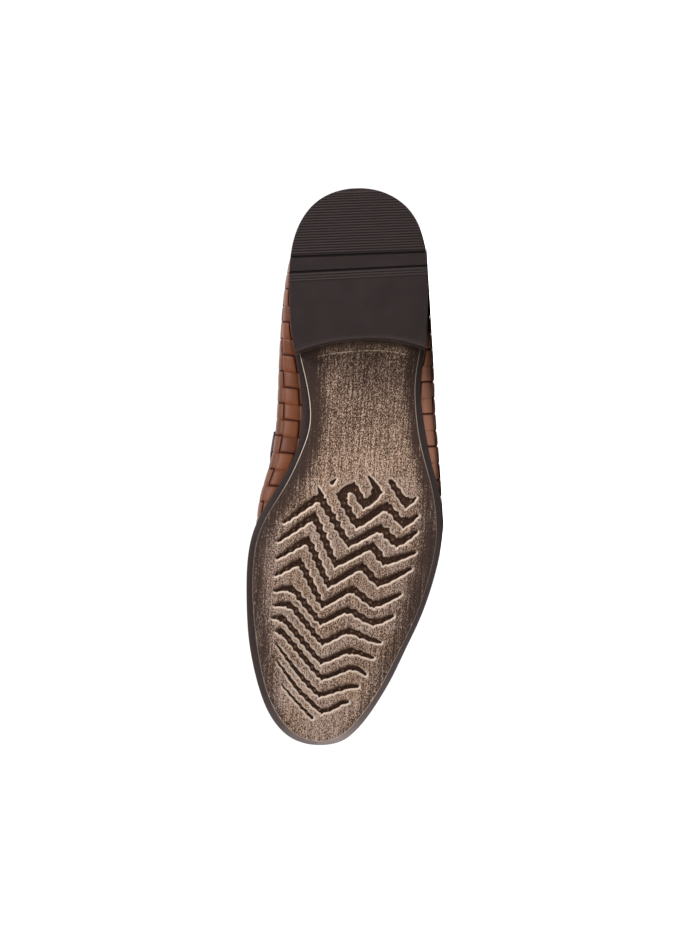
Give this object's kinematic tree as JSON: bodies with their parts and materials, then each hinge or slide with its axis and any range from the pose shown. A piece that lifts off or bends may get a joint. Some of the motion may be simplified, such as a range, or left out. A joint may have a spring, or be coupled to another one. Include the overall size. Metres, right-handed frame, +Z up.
{
  "type": "loafer",
  "caption": "Right-foot slip-on loafer with a close-woven leather upper, a saddle strap, a stacked heel and a zigzag-grooved sole, lying on its outer side.",
  "frame": {"origin": "centre of the bottom face of the bounding box: the point on the floor under the middle of the shoe as it lies on its outer side", "axes": "+Z up from the floor, towards the inner side of the shoe; the toe points to -X; the tread faces -Y"},
  "size_m": [0.2996, 0.089, 0.1085],
  "materials": {
    "upper_leather": "satin, woven from flat strips",
    "sole_rubber": "matt, dry-brushed tan over dark brown",
    "heel_stack": "matt dark brown",
    "lift_rubber": "satin near-black, fine ribs",
    "footbed_leather": "matt tan",
    "strap_leather": "satin dark brown"
  },
  "bodies": {
    "root": {"upper": "upper_leather", "outsole": "sole_rubber", "heel_block": "heel_stack", "top_lift": "lift_rubber", "insole": "footbed_leather", "saddle_strap": "strap_leather"}
  },
  "joints": []
}
